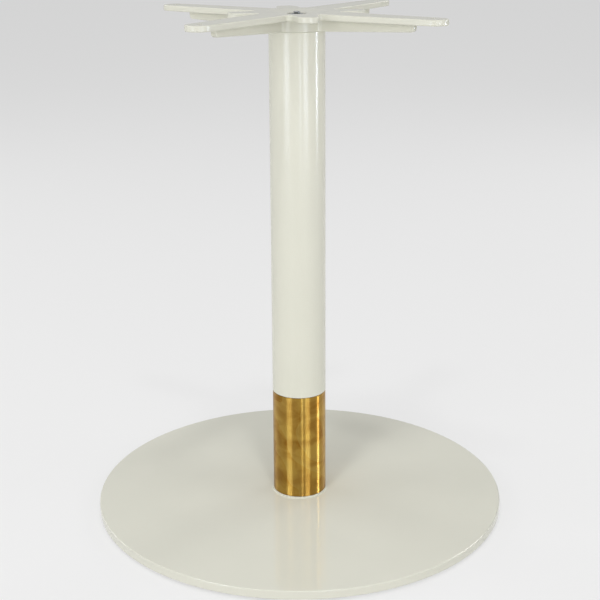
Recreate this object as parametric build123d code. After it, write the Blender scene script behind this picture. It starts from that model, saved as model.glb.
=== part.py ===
from build123d import *
import os
from math import cos, radians, tan

# Round table base: a flat steel disc, a round column with a brass sleeve at its foot, and a cast
# four-armed spider for the table top, all clamped together by one tie rod down the middle.
# The origin is on the floor under the middle of the disc, and +Z is up. Lengths are in millimetres.

# Height over everything, and the disc
overall_height = 705.0
disc_diameter = 580.0
disc_thickness = 12.0
disc_top_edge_radius = 1.5
disc_bottom_edge_radius = 1.0

# Column, and the pieces at its foot
column_diameter = 76.1
column_wall = 2.5
column_end_chamfer = 0.5
sleeve_length = 152.0
sleeve_step = 0.3
sleeve_end_chamfer = 0.3
seat_ring_lip = 1.25
seat_ring_height = 2.0
seat_ring_chamfer = 0.4
spigot_wall = 3.0
spigot_insertion = 40.0
spigot_end_chamfer = 1.0

# Plate of the spider: four arms that taper to round tips, and a short nose between each two arms
arm_count = 4
first_arm_angle = 45.0
arm_reach = 225.0
arm_root_width = 48.0
arm_tip_width = 34.0
nose_reach = 92.5
nose_tip_width = 28.0
valley_radius = 5.0
plate_thickness = 8.0
plate_edge_radius = 1.5
table_screw_inset = 20.0
table_screw_hole = 7.0

# Underside of the spider: a round boss on the column, and a rib under each arm
hub_depth = 24.5
rib_thickness = 8.0
rib_inset = 45.0
rib_end_depth = 18.3
rib_corner_radius = 5.0
rib_bend_radius = 60.0
rib_to_boss_fillet = 6.0
casting_edge_radius = 1.2
casting_fillet = 3.0
boss_spigot_height = 8.0
boss_spigot_wall = 5.0
boss_spigot_chamfer = 1.0
boss_floor_thickness = 8.0
dish_diameter = 86.0
dish_depth = 2.8

# Tie rod, nuts and washers
rod_diameter = 10.0
rod_end_chamfer = 0.8
rod_top_below_face = 0.1
rod_bottom_protrusion = 1.0
nut_width_across_flats = 17.0
nut_chamfer_angle = 30.0
nut_face_share = 0.95
top_nut_height = 8.0
bottom_nut_height = 5.0
top_washer_diameter = 20.0
top_washer_thickness = 2.0
bottom_washer_diameter = 30.0
bottom_washer_thickness = 2.5

# Glides under the disc
glide_count = 4
first_glide_angle = 45.0
glide_inset = 32.0
glide_height = 3.5
glide_pad_diameter = 24.0
glide_pad_edge_radius = 0.8
glide_stud_diameter = 8.0
glide_stud_length = 8.0
glide_stud_chamfer = 1.0
glide_head_diameter = 14.0
glide_head_thickness = 1.2
glide_floor_under_head = 1.3

# Clearances, each on the radius, or along the axis where the name says depth
thread_clearance = 0.1
tube_fit_clearance = 0.05
sleeve_fit_clearance = 0.2
boss_spigot_clearance = 0.2
washer_clearance = 0.25
rod_hole_clearance = 0.5
counterbore_clearance = 2.0
nut_socket_clearance = 3.2
glide_hole_depth_clearance = 1.0

# Levels
disc_bottom_z = glide_height
disc_top_z = disc_bottom_z + disc_thickness
ring_top_z = disc_top_z + seat_ring_height
sleeve_top_z = ring_top_z + sleeve_length
boss_bottom_z = overall_height - hub_depth
plate_bottom_z = overall_height - plate_thickness
plate_middle_z = overall_height - plate_thickness / 2
rib_end_z = overall_height - rib_end_depth
top_nut_top_z = overall_height - dish_depth
top_nut_bottom_z = top_nut_top_z - top_nut_height
nut_seat_z = top_nut_bottom_z - top_washer_thickness
bottom_washer_z = disc_bottom_z + bottom_nut_height
counterbore_top_z = bottom_washer_z + bottom_washer_thickness

# Radii
column_radius = column_diameter / 2
column_bore_radius = column_radius - column_wall
spigot_radius = column_bore_radius - tube_fit_clearance
sleeve_radius = column_radius - sleeve_step
sleeve_bore_radius = spigot_radius + sleeve_fit_clearance
rib_reach = arm_reach - rib_inset
table_screw_circle_radius = arm_reach - table_screw_inset
rod_radius = rod_diameter / 2
rod_hole_radius = rod_radius + rod_hole_clearance
nut_bore_radius = rod_radius + thread_clearance
nut_flat_radius = nut_width_across_flats / 2
nut_corner_radius = nut_flat_radius / cos(radians(30))
nut_pocket_radius = nut_corner_radius + nut_socket_clearance
counterbore_radius = bottom_washer_diameter / 2 + counterbore_clearance
glide_circle_radius = disc_diameter / 2 - glide_inset
glide_hole_radius = glide_stud_diameter / 2 + thread_clearance


def rod_shape(radius, bottom, top):
    """A solid cylinder on the Z axis between two levels."""
    return Pos(0, 0, bottom) * extrude(Circle(radius), top - bottom)


def tube_shape(radius, bore_radius, bottom, top):
    """A hollow cylinder on the Z axis between two levels."""
    return rod_shape(radius, bottom, top) - rod_shape(bore_radius, bottom, top)


def turned_shape(points):
    """A solid turned about the Z axis from a closed outline of radius and height points."""
    return revolve(Plane.XZ * make_face(Polyline(*points, close=True)), axis=Axis.Z)


def rims(shape, radius):
    """The circular edges of a turned piece that have the given radius, the lowest first."""
    circles = shape.edges().filter_by(GeomType.CIRCLE)
    return circles.filter_by(lambda edge: abs(edge.radius - radius) < 0.001).sort_by(Axis.Z)


def places_round(count, first_angle, radius):
    """Places spread evenly round the Z axis."""
    step = 360 / count
    return [Rot(0, 0, first_angle + step * index) * Pos(radius, 0, 0) for index in range(count)]


def glide_places():
    """Where the glides stand under the disc."""
    return places_round(glide_count, first_glide_angle, glide_circle_radius)


def base_disc():
    """Steel disc with a hole for the tie rod, a counterbore below it, and a blind hole for each glide."""
    disc = rod_shape(disc_diameter / 2, disc_bottom_z, disc_top_z)
    disc = fillet(rims(disc, disc_diameter / 2)[-1], disc_top_edge_radius)
    disc = fillet(rims(disc, disc_diameter / 2)[0], disc_bottom_edge_radius)
    disc -= rod_shape(rod_hole_radius, disc_bottom_z, disc_top_z)
    disc -= rod_shape(counterbore_radius, disc_bottom_z, counterbore_top_z)
    glide_hole_top = disc_bottom_z + glide_stud_length + glide_hole_depth_clearance
    glide_hole = rod_shape(glide_hole_radius, disc_bottom_z, glide_hole_top)
    return disc - [place * glide_hole for place in glide_places()]


def seat_ring():
    """Thin ring on the disc that centres the spigot tube and carries the brass sleeve."""
    ring_radius = sleeve_radius + seat_ring_lip
    ring = tube_shape(ring_radius, sleeve_bore_radius, disc_top_z, ring_top_z)
    return chamfer(rims(ring, ring_radius)[-1], seat_ring_chamfer)


def spigot_tube():
    """Inner tube that stands on the disc inside the sleeve and is fixed in the foot of the column."""
    bore_radius = spigot_radius - spigot_wall
    tube = tube_shape(spigot_radius, bore_radius, disc_top_z, sleeve_top_z + spigot_insertion)
    return chamfer(rims(tube, spigot_radius)[-1], spigot_end_chamfer)


def brass_sleeve():
    """Brass tube between the seat ring and the column."""
    sleeve = tube_shape(sleeve_radius, sleeve_bore_radius, ring_top_z, sleeve_top_z)
    return chamfer(rims(sleeve, sleeve_radius), sleeve_end_chamfer)


def column_tube():
    """Round column from the sleeve to the boss of the spider."""
    tube = tube_shape(column_radius, column_bore_radius, sleeve_top_z, boss_bottom_z)
    return chamfer(rims(tube, column_radius), column_end_chamfer)


def tapered_outline(reach, tip_width):
    """An arm or a nose along +X: the taper that is tangent to the root circle and to one at the tip."""
    root = Circle(arm_root_width / 2)
    tip = Pos(reach - tip_width / 2, 0) * Circle(tip_width / 2)
    return make_hull([*root.edges(), *tip.edges()])


def spider_plate():
    """Arms and noses as one flat plate, with round inner corners and all its edges rounded."""
    outline = Circle(arm_root_width / 2)
    outline += [place * tapered_outline(arm_reach, arm_tip_width) for place in places_round(arm_count, 0, 0)]
    nose_places = places_round(arm_count, 180 / arm_count, 0)
    outline += [place * tapered_outline(nose_reach, nose_tip_width) for place in nose_places]
    by_distance = outline.vertices().sort_by(lambda vertex: Vector(vertex).length)
    outline = fillet(by_distance[: 2 * arm_count], valley_radius)
    plate = Pos(0, 0, plate_bottom_z) * extrude(outline, plate_thickness)
    flats = plate.faces().sort_by(Axis.Z)
    return fillet([*flats[0].edges(), *flats[-1].edges()], plate_edge_radius)


def web_side_view():
    """Half side view of the boss and a rib, in radius and height, with its lower corners rounded."""
    bend_radius = column_radius + rib_to_boss_fillet
    outline = Polyline(
        (0, boss_bottom_z),
        (bend_radius, boss_bottom_z),
        (rib_reach, rib_end_z),
        (rib_reach, plate_middle_z),
        (0, plate_middle_z),
        close=True,
    )
    face = make_face(outline)
    lower_corners = face.vertices().filter_by(lambda vertex: vertex.Y < plate_middle_z).sort_by(Axis.X)
    face = fillet(lower_corners[-1], rib_corner_radius)
    bend = face.vertices().sort_by(lambda vertex: abs(vertex.X - bend_radius))[0]
    return fillet(bend, rib_bend_radius)


def web_lower_rim(web):
    """The edges where the walls of boss and ribs meet their underside and the ribs' outer ends."""
    def on_rim(edge):
        middle = edge.center()
        beside_ribs = min(abs(middle.X), abs(middle.Y)) > rib_thickness / 2 - 0.01
        below_top = middle.Z < plate_middle_z - 0.01
        wall_seam = edge.geom_type == GeomType.LINE and abs(edge.tangent_at(0.5).Z) > 0.99
        at_rib_end = max(abs(middle.X), abs(middle.Y)) > rib_reach - rib_corner_radius
        return beside_ribs and below_top and (at_rib_end or not wall_seam)
    return web.edges().filter_by(on_rim)


def spider_web():
    """Boss and ribs: a cross with a round middle, cut below to the side view of a rib."""
    footprint = Circle(column_radius)
    rib = Pos(arm_reach / 2, 0) * Rectangle(arm_reach, rib_thickness)
    footprint += [place * rib for place in places_round(arm_count, 0, 0)]
    by_distance = footprint.vertices().sort_by(lambda vertex: Vector(vertex).length)
    footprint = fillet(by_distance[: 2 * arm_count], rib_to_boss_fillet)
    walls = Pos(0, 0, boss_bottom_z) * extrude(footprint, plate_middle_z - boss_bottom_z)
    web = walls & revolve(Plane.XZ * web_side_view(), axis=Axis.Z)
    return fillet(web_lower_rim(web), casting_edge_radius)


def top_spider():
    """Cast spider: plate, boss and ribs, with the dish and nut pocket above and a hollow spigot below."""
    casting = spider_plate() + spider_web()
    underside = casting.faces().filter_by(Plane.XY).filter_by(
        lambda face: abs(face.center().Z - plate_bottom_z) < 0.001
    )[0]
    casting = fillet(underside.inner_wires()[0].edges(), casting_fillet)
    spigot_outer = column_bore_radius - boss_spigot_clearance
    spigot_bottom = boss_bottom_z - boss_spigot_height
    spigot = rod_shape(spigot_outer, spigot_bottom, boss_bottom_z)
    casting += chamfer(rims(spigot, spigot_outer)[0], boss_spigot_chamfer)
    casting -= rod_shape(spigot_outer - boss_spigot_wall, spigot_bottom, nut_seat_z - boss_floor_thickness)
    casting -= turned_shape([
        (0, top_nut_top_z),
        (nut_pocket_radius, top_nut_top_z),
        (dish_diameter / 2, overall_height),
        (0, overall_height),
    ])
    casting -= rod_shape(nut_pocket_radius, nut_seat_z, overall_height)
    casting -= rod_shape(rod_hole_radius, boss_bottom_z - boss_spigot_height, overall_height)
    screw_hole = rod_shape(table_screw_hole / 2, plate_bottom_z, overall_height)
    casting -= [place * screw_hole for place in places_round(arm_count, 0, table_screw_circle_radius)]
    return Rot(0, 0, first_arm_angle) * casting


def tie_rod():
    """Rod through the whole base, from the nut in the dish to the nut in the counterbore."""
    rod = rod_shape(rod_radius, disc_bottom_z - rod_bottom_protrusion, overall_height - rod_top_below_face)
    return chamfer(rims(rod, rod_radius), rod_end_chamfer)


def hexagon_nut(bottom, height):
    """Hexagon nut with its corners turned off to a cone, and a plain bore in place of the thread."""
    blank = RegularPolygon(nut_flat_radius, 6, major_radius=False)
    face_radius = nut_flat_radius * nut_face_share
    corner_drop = (nut_corner_radius - face_radius) * tan(radians(nut_chamfer_angle))
    envelope = turned_shape([
        (0, bottom),
        (face_radius, bottom),
        (nut_corner_radius, bottom + corner_drop),
        (nut_corner_radius, bottom + height - corner_drop),
        (face_radius, bottom + height),
        (0, bottom + height),
    ])
    nut = Pos(0, 0, bottom) * extrude(blank, height) & envelope
    return nut - rod_shape(nut_bore_radius, bottom, bottom + height)


def washer(diameter, bottom, thickness):
    """Flat washer for the tie rod."""
    return tube_shape(diameter / 2, rod_radius + washer_clearance, bottom, bottom + thickness)


def glide_stud():
    """Threaded stud of a glide, with the round head that the pad is moulded over."""
    stud_radius = glide_stud_diameter / 2
    head_top = glide_floor_under_head + glide_head_thickness
    shank = rod_shape(stud_radius, glide_floor_under_head, disc_bottom_z + glide_stud_length)
    shank = chamfer(rims(shank, stud_radius)[-1], glide_stud_chamfer)
    return shank + rod_shape(glide_head_diameter / 2, glide_floor_under_head, head_top)


def glide_pad():
    """Plastic floor pad moulded over the head of its stud."""
    pad_radius = glide_pad_diameter / 2
    pad = rod_shape(pad_radius, 0, glide_height)
    pad = fillet(rims(pad, pad_radius)[0], glide_pad_edge_radius)
    return pad - glide_stud()


def sub_parts():
    """Every piece of the base by its name."""
    pieces = {
        "base_disc": base_disc(),
        "seat_ring": seat_ring(),
        "spigot_tube": spigot_tube(),
        "brass_sleeve": brass_sleeve(),
        "column_tube": column_tube(),
        "top_spider": top_spider(),
        "tie_rod": tie_rod(),
        "top_washer": washer(top_washer_diameter, nut_seat_z, top_washer_thickness),
        "top_nut": hexagon_nut(top_nut_bottom_z, top_nut_height),
        "bottom_washer": washer(bottom_washer_diameter, bottom_washer_z, bottom_washer_thickness),
        "bottom_nut": hexagon_nut(disc_bottom_z, bottom_nut_height),
    }
    for number, place in enumerate(glide_places(), start=1):
        pieces[f"glide_pad_{number}"] = place * glide_pad()
        pieces[f"glide_stud_{number}"] = place * glide_stud()
    return pieces


os.makedirs("parts", exist_ok=True)
for name, piece in sub_parts().items():
    export_step(piece, f"parts/{name}.step")
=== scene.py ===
from math import atan2, cos, degrees, hypot, pi, radians, sin, tan

import bmesh
import bpy
from mathutils import Matrix, Vector


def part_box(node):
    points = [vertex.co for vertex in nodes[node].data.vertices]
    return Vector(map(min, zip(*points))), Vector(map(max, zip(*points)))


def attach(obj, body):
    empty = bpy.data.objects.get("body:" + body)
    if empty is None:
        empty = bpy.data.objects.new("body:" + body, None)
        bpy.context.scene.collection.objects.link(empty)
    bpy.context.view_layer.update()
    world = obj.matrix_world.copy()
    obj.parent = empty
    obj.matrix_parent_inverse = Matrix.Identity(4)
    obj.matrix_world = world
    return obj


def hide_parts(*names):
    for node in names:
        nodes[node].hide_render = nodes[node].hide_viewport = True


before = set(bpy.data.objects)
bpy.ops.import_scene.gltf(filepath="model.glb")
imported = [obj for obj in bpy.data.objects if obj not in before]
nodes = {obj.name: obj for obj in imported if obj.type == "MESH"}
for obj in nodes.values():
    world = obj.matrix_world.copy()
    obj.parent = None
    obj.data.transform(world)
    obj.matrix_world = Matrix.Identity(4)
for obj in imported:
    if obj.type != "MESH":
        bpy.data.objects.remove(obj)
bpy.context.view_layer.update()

# Looks for a round table base: a cream coated disc and column, a brass sleeve at the column's foot,
# and a cast four-armed spider with its tie rod and nut. Lengths are in metres, and colours are
# linear red, green and blue.

# The camera stands in front, a little to the left, and looks down at the column
camera_azimuth = radians(-10.61)
camera_pitch = radians(15.19)
camera_roll = radians(-0.34)
camera_distance = 1.69457
camera_offset = 0.0025
camera_height = 0.85438
camera_sensor_millimetres = 36

# The photograph's size, its focal length and the row at its optical centre, in pixels
picture_size = 600
focal_pixels = 1263.25
centre_row = 237.3

# Tie rod, with the thread that the solids leave out
rod_radius = 0.005
rod_end_chamfer = 0.0008
shank_radius = 0.0045
shank_sides = 48
top_thread_length = 0.040
bottom_thread_length = 0.030
thread_pitch = 0.0015
thread_core_radius = 0.00408
thread_steps_per_turn = 32
thread_spare_turns = 2
thread_sharp_degrees = 35

# Hexagon nuts
nut_flat_radius = 0.0085
nut_face_share = 0.95
nut_half_side_degrees = 30
nut_cone_angle = radians(30)
nut_countersink = 0.0005
nut_turning_steps = 72
nut_keen_angle = radians(24)
nut_edge_softness = 0.00012
nut_sharp_degrees = 50

# Points closer than these are one point, in the thread and elsewhere
thread_weld_distance = 1e-6
fine_distance = 1e-7

# How far past the face of a nut a point counts as part of its side
side_clearance = 1e-5

# The two tones that the cream coat drifts between
cream_pale = (0.758, 0.753, 0.657)
cream_deep = (0.744, 0.740, 0.645)

# Brass, from bright to dark, and the painted shade that darkens both ends of the sleeve where it
# meets the column and the seat ring, with how far that shade reaches
brass_polished = (0.560, 0.392, 0.105)
brass_tarnished = (0.485, 0.288, 0.055)
brass_clouded = (0.325, 0.151, 0.019)
brass_joint_shade = (0.20, 0.125, 0.030)
joint_shade_reach = 0.0018

# The two tones of zinc, steel and nylon
zinc_pale, zinc_dull = (0.47, 0.48, 0.49), (0.33, 0.34, 0.34)
steel_pale, steel_dull = (0.45, 0.45, 0.44), (0.35, 0.345, 0.335)
nylon_dark, nylon_worn = (0.026, 0.026, 0.027), (0.036, 0.036, 0.036)

# Most of a noise pattern lies between these values
noise_low, noise_high = 0.35, 0.65

# The distance between the rings of a wave texture at scale 1
ring_spacing = pi / 10

# Numbers of a Mix node's colour sockets, which share their names with other sockets
mix_first, mix_second, mix_result = 6, 7, 2

# Floor, which lies a hair under the glides
floor_radius = 40
floor_sides = 96
floor_level = -0.0002

# The floor's tone for the light that it throws back, and its shaded tone and glow where it is seen
floor_thrown = (0.74, 0.74, 0.735)
floor_shaded = (0.3, 0.3, 0.3)
floor_glow = (0.58, 0.58, 0.58)

# The air's tone for the light that it gives, and its tone where it is seen
air_given = (0.25, 0.25, 0.25)
air_seen = (0.54, 0.54, 0.545)

# The level that the higher lamps aim at, and the colours of the lamps
lamp_aim_height = 0.35
plain_white = (1, 1, 1)
cool_white = (0.95, 1.06, 1.28)


# Shapes

def make_piece(name, mesh_work, material, replaced_node, sharp_degrees):
    """Turns the bmesh into an object that rides on the base and stands for a node."""
    mesh = bpy.data.meshes.new(name)
    mesh_work.to_mesh(mesh)
    mesh_work.free()
    mesh.shade_smooth()
    mesh.set_sharp_from_angle(angle=radians(sharp_degrees))
    mesh.materials.append(material)
    piece = bpy.data.objects.new(name, mesh)
    bpy.context.scene.collection.objects.link(piece)
    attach(piece, "root")
    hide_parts(replaced_node)


def add_to(work, part):
    """Adds one bmesh to another and frees it."""
    carrier = bpy.data.meshes.new("carrier")
    part.to_mesh(carrier)
    part.free()
    work.from_mesh(carrier)
    bpy.data.meshes.remove(carrier)


def add_chain(work, points):
    """A chain of edges through radius and height points in the XZ plane."""
    chain = [work.verts.new((radius, 0, height)) for radius, height in points]
    edges = [work.edges.new(pair) for pair in zip(chain, chain[1:])]
    return chain + edges


def cut_level(work, level, direction=1, clear_outer=False):
    """Cuts the bmesh at a level, and can clear what is above it (direction 1) or below it (-1)."""
    bmesh.ops.bisect_plane(
        work, geom=[*work.verts, *work.edges, *work.faces], dist=fine_distance,
        plane_co=(0, 0, level), plane_no=(0, 0, direction), clear_outer=clear_outer,
    )


def thread_stub(work, bottom, top):
    """A threaded length of rod. Its helix is wound past both levels and cut flat there."""
    root_flat = thread_pitch / 4
    crest_flat = thread_pitch / 8
    flank = (thread_pitch - root_flat - crest_flat) / 2
    start = bottom - thread_spare_turns * thread_pitch
    profile = [
        (thread_core_radius, start),
        (thread_core_radius, start + root_flat),
        (rod_radius, start + root_flat + flank),
        (rod_radius, start + root_flat + flank + crest_flat),
        (thread_core_radius, start + thread_pitch),
    ]
    turns = int((top - bottom) / thread_pitch) + 2 * thread_spare_turns
    part = bmesh.new()
    bmesh.ops.spin(
        part, geom=add_chain(part, profile), cent=(0, 0, 0), axis=(0, 0, 1),
        dvec=(0, 0, thread_pitch / thread_steps_per_turn), angle=2 * pi * turns,
        steps=thread_steps_per_turn * turns, use_merge=False, use_duplicate=False,
    )
    bmesh.ops.remove_doubles(part, verts=part.verts, dist=thread_weld_distance)
    cut_level(part, top, direction=1, clear_outer=True)
    cut_level(part, bottom, direction=-1, clear_outer=True)
    bmesh.ops.holes_fill(part, edges=[edge for edge in part.edges if edge.is_boundary], sides=0)
    add_to(work, part)


def chamfer_rod_end(work, level, direction):
    """Turns the thread down to a cone at one end of the rod."""
    for depth in (rod_end_chamfer / 2, rod_end_chamfer):
        cut_level(work, level - direction * depth)
    for corner in work.verts:
        from_end = (level - corner.co.z) * direction
        radius = hypot(corner.co.x, corner.co.y)
        allowed = rod_radius - rod_end_chamfer + from_end
        if from_end < rod_end_chamfer and radius > allowed:
            corner.co.x *= allowed / radius
            corner.co.y *= allowed / radius


def threaded_tie_rod(material):
    """The tie rod with a real thread at both ends and a plain shank inside the column."""
    low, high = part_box("tie_rod")
    work = bmesh.new()
    shank_bottom = low.z + bottom_thread_length
    shank_top = high.z - top_thread_length
    thread_stub(work, shank_top, high.z)
    thread_stub(work, low.z, shank_bottom)
    shank = bmesh.new()
    bmesh.ops.create_cone(
        shank, cap_ends=True, segments=shank_sides, radius1=shank_radius, radius2=shank_radius,
        depth=shank_top - shank_bottom,
        matrix=Matrix.Translation((0, 0, (shank_top + shank_bottom) / 2)),
    )
    add_to(work, shank)
    chamfer_rod_end(work, high.z, 1)
    chamfer_rod_end(work, low.z, -1)
    bmesh.ops.recalc_face_normals(work, faces=work.faces)
    make_piece("threaded_tie_rod", work, material, "tie_rod", thread_sharp_degrees)


def hexagon_radius(across, along):
    """Distance from the axis to the hexagon's outline in the direction of a point."""
    side = 2 * nut_half_side_degrees
    turn = (degrees(atan2(along, across)) + nut_half_side_degrees) % side - nut_half_side_degrees
    return nut_flat_radius / cos(radians(turn))


def turned_nut(name, replaced_node, material):
    """A hexagon nut with turned corners, a countersink at each end of its bore and soft edges."""
    low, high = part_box(replaced_node)
    bore = rod_radius
    face = nut_flat_radius * nut_face_share
    corner = nut_flat_radius / cos(radians(nut_half_side_degrees))
    cone = tan(nut_cone_angle)
    profile = [
        (bore, low.z + nut_countersink),
        (bore + nut_countersink, low.z),
        (face, low.z),
        (corner, low.z + (corner - face) * cone),
        (corner, high.z - (corner - face) * cone),
        (face, high.z),
        (bore + nut_countersink, high.z),
        (bore, high.z - nut_countersink),
        (bore, low.z + nut_countersink),
    ]
    work = bmesh.new()
    bmesh.ops.spin(
        work, geom=add_chain(work, profile), cent=(0, 0, 0), axis=(0, 0, 1), dvec=(0, 0, 0),
        angle=2 * pi, steps=nut_turning_steps, use_merge=True, use_duplicate=False,
    )
    bmesh.ops.remove_doubles(work, verts=work.verts, dist=fine_distance)
    middle = (low.z + high.z) / 2
    for point in work.verts:
        across, along, level = point.co
        if hypot(across, along) > face + side_clearance:
            rim = hexagon_radius(across, along)
            shrink = rim / hypot(across, along)
            drop = max(rim - face, 0) * cone
            height = high.z - drop if level > middle else low.z + drop
            point.co = (across * shrink, along * shrink, height)
    bmesh.ops.recalc_face_normals(work, faces=work.faces)
    keen = [
        edge for edge in work.edges
        if edge.is_manifold and edge.calc_face_angle() > nut_keen_angle
    ]
    bmesh.ops.bevel(
        work, geom=keen, offset=nut_edge_softness, offset_type="OFFSET", affect="EDGES",
        segments=2, profile=0.5, material=-1, clamp_overlap=True,
    )
    make_piece(name, work, material, replaced_node, nut_sharp_degrees)


# Finishes

class Finish:
    """A material whose colour, gloss and relief come from patterns on Object coordinates."""

    def __init__(self, name, metallic=0.0):
        self.material = bpy.data.materials.new(name)
        self.material.use_nodes = True
        self.tree = self.material.node_tree
        self.shader = self.tree.nodes["Principled BSDF"]
        self.shader.inputs["Metallic"].default_value = metallic
        self.place = self.tree.nodes.new("ShaderNodeTexCoord").outputs["Object"]

    def link(self, output, target):
        """Joins a node's output to another's input."""
        self.tree.links.new(output, target)

    def feed(self, socket, output):
        """Joins a node's output to the shader."""
        self.link(output, self.shader.inputs[socket])

    def pattern(self, size, detail=2.0, stretch=(1, 1, 1), turn=(0, 0, 0), twist=0.0):
        """Noise whose lumps are about as wide as size, drawn out or turned by a Mapping node."""
        mapping = self.tree.nodes.new("ShaderNodeMapping")
        mapping.inputs["Scale"].default_value = stretch
        mapping.inputs["Rotation"].default_value = turn
        noise = self.tree.nodes.new("ShaderNodeTexNoise")
        noise.inputs["Scale"].default_value = 1 / size
        noise.inputs["Detail"].default_value = detail
        noise.inputs["Distortion"].default_value = twist
        self.link(self.place, mapping.inputs["Vector"])
        self.link(mapping.outputs["Vector"], noise.inputs["Vector"])
        return noise.outputs["Fac"]

    def strokes(self, width, centre, wander):
        """Overlapping strokes in arcs: each is bright at one edge and fades across its width."""
        mapping = self.tree.nodes.new("ShaderNodeMapping")
        mapping.inputs["Location"].default_value = [-value for value in centre]
        wave = self.tree.nodes.new("ShaderNodeTexWave")
        wave.wave_type = "RINGS"
        wave.rings_direction = "SPHERICAL"
        wave.wave_profile = "SAW"
        wave.inputs["Scale"].default_value = ring_spacing / width
        wave.inputs["Distortion"].default_value = wander
        wave.inputs["Detail"].default_value = 1.0
        wave.inputs["Detail Scale"].default_value = 1.6
        self.link(self.place, mapping.inputs["Vector"])
        self.link(mapping.outputs["Vector"], wave.inputs["Vector"])
        return wave.outputs["Fac"]

    def height(self):
        """The level above the floor, in metres."""
        parts = self.tree.nodes.new("ShaderNodeSeparateXYZ")
        self.link(self.place, parts.inputs[0])
        return parts.outputs["Z"]

    def between(self, pattern, low, high, start=noise_low, end=noise_high):
        """A number from low to high as the pattern goes from start to end."""
        spread = self.tree.nodes.new("ShaderNodeMapRange")
        spread.inputs["From Min"].default_value = start
        spread.inputs["From Max"].default_value = end
        spread.inputs["To Min"].default_value = low
        spread.inputs["To Max"].default_value = high
        self.link(pattern, spread.inputs["Value"])
        return spread.outputs["Result"]

    def blend(self, pattern, first, second, amount=1.0, start=noise_low, end=noise_high):
        """A colour from the first towards the second as the pattern goes from start to end.

        Each of the two is a colour or a node's output.
        """
        mix = self.tree.nodes.new("ShaderNodeMix")
        mix.data_type = "RGBA"
        self.link(self.between(pattern, 0, amount, start, end), mix.inputs["Factor"])
        for number, colour in ((mix_first, first), (mix_second, second)):
            if isinstance(colour, tuple):
                mix.inputs[number].default_value = (*colour, 1)
            else:
                self.link(colour, mix.inputs[number])
        return mix.outputs[mix_result]

    def relief(self, pattern, depth):
        """Adds a layer of relief over what is there."""
        bump = self.tree.nodes.new("ShaderNodeBump")
        bump.inputs["Strength"].default_value = 1.0
        bump.inputs["Distance"].default_value = depth
        self.link(pattern, bump.inputs["Height"])
        normal = self.shader.inputs["Normal"]
        if normal.is_linked:
            self.link(normal.links[0].from_socket, bump.inputs["Normal"])
        self.link(bump.outputs["Normal"], normal)


def cream_coat(name, smoothest, roughest, peel_depth, tone=1.0):
    """Cream powder coat: a faint drift in colour and gloss, and the fine ripple of orange peel. A
    tone below 1 darkens both colours as painted shade.
    """
    pale, deep = (tuple(tone * part for part in colour) for colour in (cream_pale, cream_deep))
    coat = Finish(name)
    drift = coat.pattern(size=0.09, detail=3.0)
    gloss = coat.pattern(size=0.03, detail=4.0)
    coat.feed("Base Color", coat.blend(drift, pale, deep))
    coat.feed("Roughness", coat.between(gloss, smoothest, roughest))
    coat.relief(coat.pattern(size=0.0024, detail=1.5), peel_depth)
    return coat


def flat_cream_coat():
    """The coat on the disc, glossy enough to mirror the foot of the sleeve."""
    return cream_coat(
        "cream coat on flat plate", smoothest=0.07, roughest=0.10, peel_depth=4e-6,
    )


def tube_cream_coat():
    """The coat on the column and the seat ring, with more orange peel and a weaker mirror."""
    coat = cream_coat("cream coat on tube", smoothest=0.14, roughest=0.17, peel_depth=140e-6)
    coat.shader.inputs["Specular IOR Level"].default_value = 0.15
    return coat


def cast_cream_coat():
    """The same coat over a sand casting, whose skin still shows as soft grain and shallow swells,
    and whose colour is painted a little darker as painted shade.
    """
    # Painted shade: tone 0.95 makes this a darker copy of the same cream as on the disc and column
    coat = cream_coat(
        "cream coat on cast iron", smoothest=0.17, roughest=0.20, peel_depth=5e-6, tone=0.95,
    )
    coat.shader.inputs["Specular IOR Level"].default_value = 0.18
    coat.relief(coat.pattern(size=0.0016, twist=0.4), depth=3e-6)
    coat.relief(coat.pattern(size=0.014), depth=10e-6)
    return coat


def turned_brass():
    """Brass polished on a lathe: cloudy tarnish, strokes of the polishing cloth, and painted shade
    at both ends where the sleeve meets the column and the seat ring.
    """
    brass = Finish("turned brass", metallic=1.0)
    brass.shader.inputs["Anisotropic"].default_value = 1.0
    brass.shader.inputs["Anisotropic Rotation"].default_value = 0.25
    clouds = brass.pattern(
        size=0.028, detail=3.0, stretch=(0.8, 0.8, 1.3), turn=(0.3, 0.2, 0), twist=0.6,
    )
    strokes = brass.strokes(width=0.026, centre=(0.09, -0.06, 0.14), wander=7.0)
    lathe_lines = brass.pattern(size=0.012, detail=5.0, stretch=(0.4, 0.4, 60))
    colour = brass.blend(clouds, brass_tarnished, brass_clouded, start=0.38, end=0.62)
    colour = brass.blend(strokes, colour, brass_polished, amount=0.38, start=0, end=1)
    # Painted shade: the colour darkens towards both ends of the sleeve, standing in for the shade in
    # its joints with the column and the seat ring
    foot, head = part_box("brass_sleeve")
    for end, inside in ((foot.z, foot.z + joint_shade_reach), (head.z, head.z - joint_shade_reach)):
        colour = brass.blend(brass.height(), colour, brass_joint_shade, amount=0.8, start=inside, end=end)
    brass.feed("Base Color", colour)
    brass.feed("Roughness", brass.between(clouds, low=0.315, high=0.335))
    brass.relief(lathe_lines, depth=3e-6)
    return brass


def zinc_plate():
    """Bright zinc plating, a little cloudy, with a fine grain."""
    zinc = Finish("zinc plate", metallic=1.0)
    clouds = zinc.pattern(size=0.004, detail=4.0, twist=0.3)
    zinc.feed("Base Color", zinc.blend(clouds, zinc_pale, zinc_dull))
    zinc.feed("Roughness", zinc.between(clouds, low=0.20, high=0.32))
    zinc.relief(zinc.pattern(size=0.0006), depth=10e-6)
    return zinc


def drawn_steel():
    """Bare drawn tube, greyer than zinc, with long faint lines along its length."""
    steel = Finish("drawn steel", metallic=1.0)
    lines = steel.pattern(size=0.003, detail=4.0, stretch=(1, 1, 0.03))
    steel.feed("Base Color", steel.blend(lines, steel_pale, steel_dull))
    steel.feed("Roughness", steel.between(lines, low=0.32, high=0.46))
    steel.relief(lines, depth=10e-6)
    return steel


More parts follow.
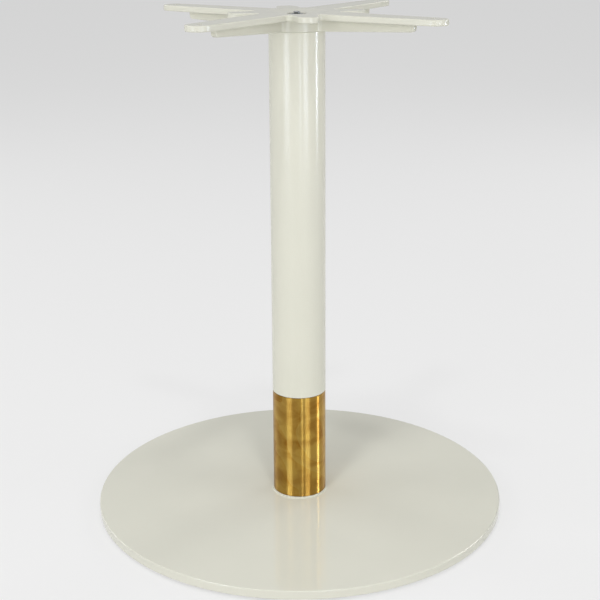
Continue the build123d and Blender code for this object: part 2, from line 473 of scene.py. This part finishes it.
def black_nylon():
    """Moulded black nylon with a fine satin grain."""
    nylon = Finish("black nylon")
    grain = nylon.pattern(size=0.0007, detail=3.0)
    nylon.feed("Base Color", nylon.blend(nylon.pattern(size=0.008), nylon_dark, nylon_worn))
    nylon.feed("Roughness", nylon.between(grain, low=0.42, high=0.6))
    nylon.relief(grain, depth=30e-6)
    return nylon


def finish_node(name, finish):
    """Gives a node of the solid model its finish."""
    for slot in nodes[name].material_slots:
        slot.material = finish.material


flat_coat = flat_cream_coat()
tube_coat = tube_cream_coat()
cast_coat = cast_cream_coat()
brass = turned_brass()
zinc = zinc_plate()
steel = drawn_steel()
nylon = black_nylon()

finish_node("base_disc", flat_coat)
finish_node("seat_ring", tube_coat)
finish_node("column_tube", tube_coat)
finish_node("top_spider", cast_coat)
finish_node("brass_sleeve", brass)
finish_node("spigot_tube", steel)
for node_name in ("tie_rod", "top_nut", "bottom_nut", "top_washer", "bottom_washer"):
    finish_node(node_name, zinc)
for node_name in nodes:
    if node_name.startswith("glide_stud"):
        finish_node(node_name, zinc)
    if node_name.startswith("glide_pad"):
        finish_node(node_name, nylon)

threaded_tie_rod(zinc.material)
turned_nut("turned_top_nut", "top_nut", zinc.material)
turned_nut("turned_bottom_nut", "bottom_nut", zinc.material)


# Floor, lamps and camera

def even_shader(tree, kind, colour):
    """A shader node of one colour all over."""
    shader = tree.nodes.new(kind)
    shader.inputs["Color"].default_value = (*colour, 1)
    return shader.outputs[0]


def seen_directly(tree):
    """1 for camera, glossy and transmission rays, and 0 for the rest."""
    path = tree.nodes.new("ShaderNodeLightPath")
    seen = path.outputs["Is Camera Ray"]
    for ray in ("Is Glossy Ray", "Is Transmission Ray"):
        either = tree.nodes.new("ShaderNodeMath")
        either.operation = "MAXIMUM"
        tree.links.new(seen, either.inputs[0])
        tree.links.new(path.outputs[ray], either.inputs[1])
        seen = either.outputs[0]
    return seen


def floor_finish():
    """Plain for the light that it throws back, and lifted by a glow where it is seen."""
    material = bpy.data.materials.new("pale floor")
    material.use_nodes = True
    tree = material.node_tree
    tree.nodes.clear()
    lifted = tree.nodes.new("ShaderNodeAddShader")
    chosen = tree.nodes.new("ShaderNodeMixShader")
    output = tree.nodes.new("ShaderNodeOutputMaterial")
    tree.links.new(even_shader(tree, "ShaderNodeBsdfDiffuse", floor_shaded), lifted.inputs[0])
    tree.links.new(even_shader(tree, "ShaderNodeEmission", floor_glow), lifted.inputs[1])
    tree.links.new(seen_directly(tree), chosen.inputs[0])
    tree.links.new(even_shader(tree, "ShaderNodeBsdfDiffuse", floor_thrown), chosen.inputs[1])
    tree.links.new(lifted.outputs[0], chosen.inputs[2])
    tree.links.new(chosen.outputs[0], output.inputs["Surface"])
    return material


def pale_floor():
    """A wide pale floor, with the base's shadow on it."""
    work = bmesh.new()
    bmesh.ops.create_circle(work, cap_ends=True, segments=floor_sides, radius=floor_radius)
    bmesh.ops.translate(work, verts=work.verts, vec=(0, 0, floor_level))
    mesh = bpy.data.meshes.new("floor")
    work.to_mesh(mesh)
    work.free()
    floor = bpy.data.objects.new("floor", mesh)
    bpy.context.scene.collection.objects.link(floor)
    mesh.materials.append(floor_finish())


def studio_air():
    """The even light of the room, paler where the camera or a reflection sees it."""
    world = bpy.data.worlds.new("studio")
    bpy.context.scene.world = world
    world.use_nodes = True
    tree = world.node_tree
    background = tree.nodes["Background"]
    mix = tree.nodes.new("ShaderNodeMix")
    mix.data_type = "RGBA"
    mix.inputs[mix_first].default_value = (*air_given, 1)
    mix.inputs[mix_second].default_value = (*air_seen, 1)
    tree.links.new(seen_directly(tree), mix.inputs["Factor"])
    tree.links.new(mix.outputs[mix_result], background.inputs["Color"])


def soft_lamp(
    name, azimuth, distance, bottom, height, width, radiance,
    in_gloss=True, in_diffuse=True, tint=plain_white,
):
    """A flat lamp that faces the column.

    Azimuth is to the right of the camera, in degrees. Bottom is the level that its lower edge has
    while it stands upright, before it is turned about its middle to face the column. Reflections
    see it where in_gloss is true, and matt light where in_diffuse is true.
    """
    light = bpy.data.lights.new(name, "AREA")
    light.shape = "RECTANGLE"
    light.size = width
    light.size_y = height
    light.energy = pi * width * height * radiance
    light.color = tint
    lamp = bpy.data.objects.new(name, light)
    bpy.context.scene.collection.objects.link(lamp)
    turn = camera_azimuth + radians(azimuth)
    place = Vector((sin(turn) * distance, -cos(turn) * distance, bottom + height / 2))
    lamp.location = place
    aim = Vector((0, 0, min(place.z, lamp_aim_height))) - place
    lamp.rotation_euler = aim.to_track_quat("-Z", "Y").to_euler()
    lamp.visible_camera = False
    lamp.visible_glossy = in_gloss
    lamp.visible_diffuse = in_diffuse


def mirrored_lamps():
    """Low, bright and cool, and seen by reflections only.

    They make the bands in the brass and the white line on the column.
    """
    mirrored = {"in_diffuse": False, "tint": cool_white}
    front = {"distance": 2.6, "bottom": 0.08, "height": 0.38}
    side = {"distance": 2.4, "bottom": 0.12, "height": 0.8}
    soft_lamp("left box", azimuth=-42.5, width=1.02, radiance=10.9, **front, **mirrored)
    soft_lamp("right box", azimuth=34.5, width=0.85, radiance=13.8, **front, **mirrored)
    soft_lamp("front strip", azimuth=12, width=0.07, radiance=54.0, **front, **mirrored)
    soft_lamp("side strip", azimuth=86, width=0.07, radiance=135.0, **side, **mirrored)


def matt_lamps():
    """Seen by matt light only.

    Broad keys and fills give the level of the light, and two small high lamps cast the two
    shadows of the column on the disc.
    """
    key = {"distance": 2.8, "bottom": 0.45, "height": 1.4, "in_gloss": False}
    soft_lamp("left key", azimuth=-32, width=1.4, radiance=2.25, **key)
    soft_lamp("right key", azimuth=22, width=1.2, radiance=2.85, **key)
    fill = {"bottom": 0.5, "height": 1.5, "in_gloss": False}
    soft_lamp("front fill", azimuth=-14, distance=3.2, width=3.2, radiance=1.05, **fill)
    soft_lamp("left fill", azimuth=-85, distance=3.0, width=1.5, radiance=2.1, **fill)
    soft_lamp("right fill", azimuth=75, distance=3.0, width=1.5, radiance=2.05, **fill)
    high = {"distance": 1.9, "bottom": 4.5, "in_gloss": False}
    soft_lamp("high left lamp", azimuth=-24, height=0.4, width=0.4, radiance=62.0, **high)
    soft_lamp("high right lamp", azimuth=12, height=0.32, width=0.32, radiance=80.0, **high)


def room_lamps():
    """Seen by both: a wide ceiling lamp, and two lamps behind the base for the edges."""
    soft_lamp(
        "ceiling lamp", azimuth=0, distance=0, bottom=3.0, height=4.0, width=4.0, radiance=0.49,
    )
    back = {"distance": 3.0, "bottom": 1.0, "height": 1.2, "width": 1.0}
    soft_lamp("back left lamp", azimuth=-126, radiance=3.0, **back)
    soft_lamp("back right lamp", azimuth=133, radiance=3.6, **back)


def photo_camera():
    """The camera of the photograph, with its shift for the framing."""
    data = bpy.data.cameras.new("camera")
    data.sensor_width = camera_sensor_millimetres
    data.lens = focal_pixels / picture_size * data.sensor_width
    data.shift_y = (centre_row - picture_size / 2) / picture_size
    camera = bpy.data.objects.new("camera", data)
    bpy.context.scene.collection.objects.link(camera)
    right = Vector((cos(camera_azimuth), sin(camera_azimuth), 0))
    ahead = Vector((-sin(camera_azimuth), cos(camera_azimuth), 0))
    up = Vector((0, 0, camera_height))
    camera.location = right * camera_offset - ahead * camera_distance + up
    turn = Matrix.Rotation(camera_azimuth, 3, "Z") @ Matrix.Rotation(pi / 2 - camera_pitch, 3, "X")
    camera.rotation_euler = (turn @ Matrix.Rotation(camera_roll, 3, "Z")).to_euler()
    bpy.context.scene.camera = camera


pale_floor()
studio_air()
mirrored_lamps()
matt_lamps()
room_lamps()
photo_camera()

bpy.context.scene.view_settings.view_transform = "Standard"
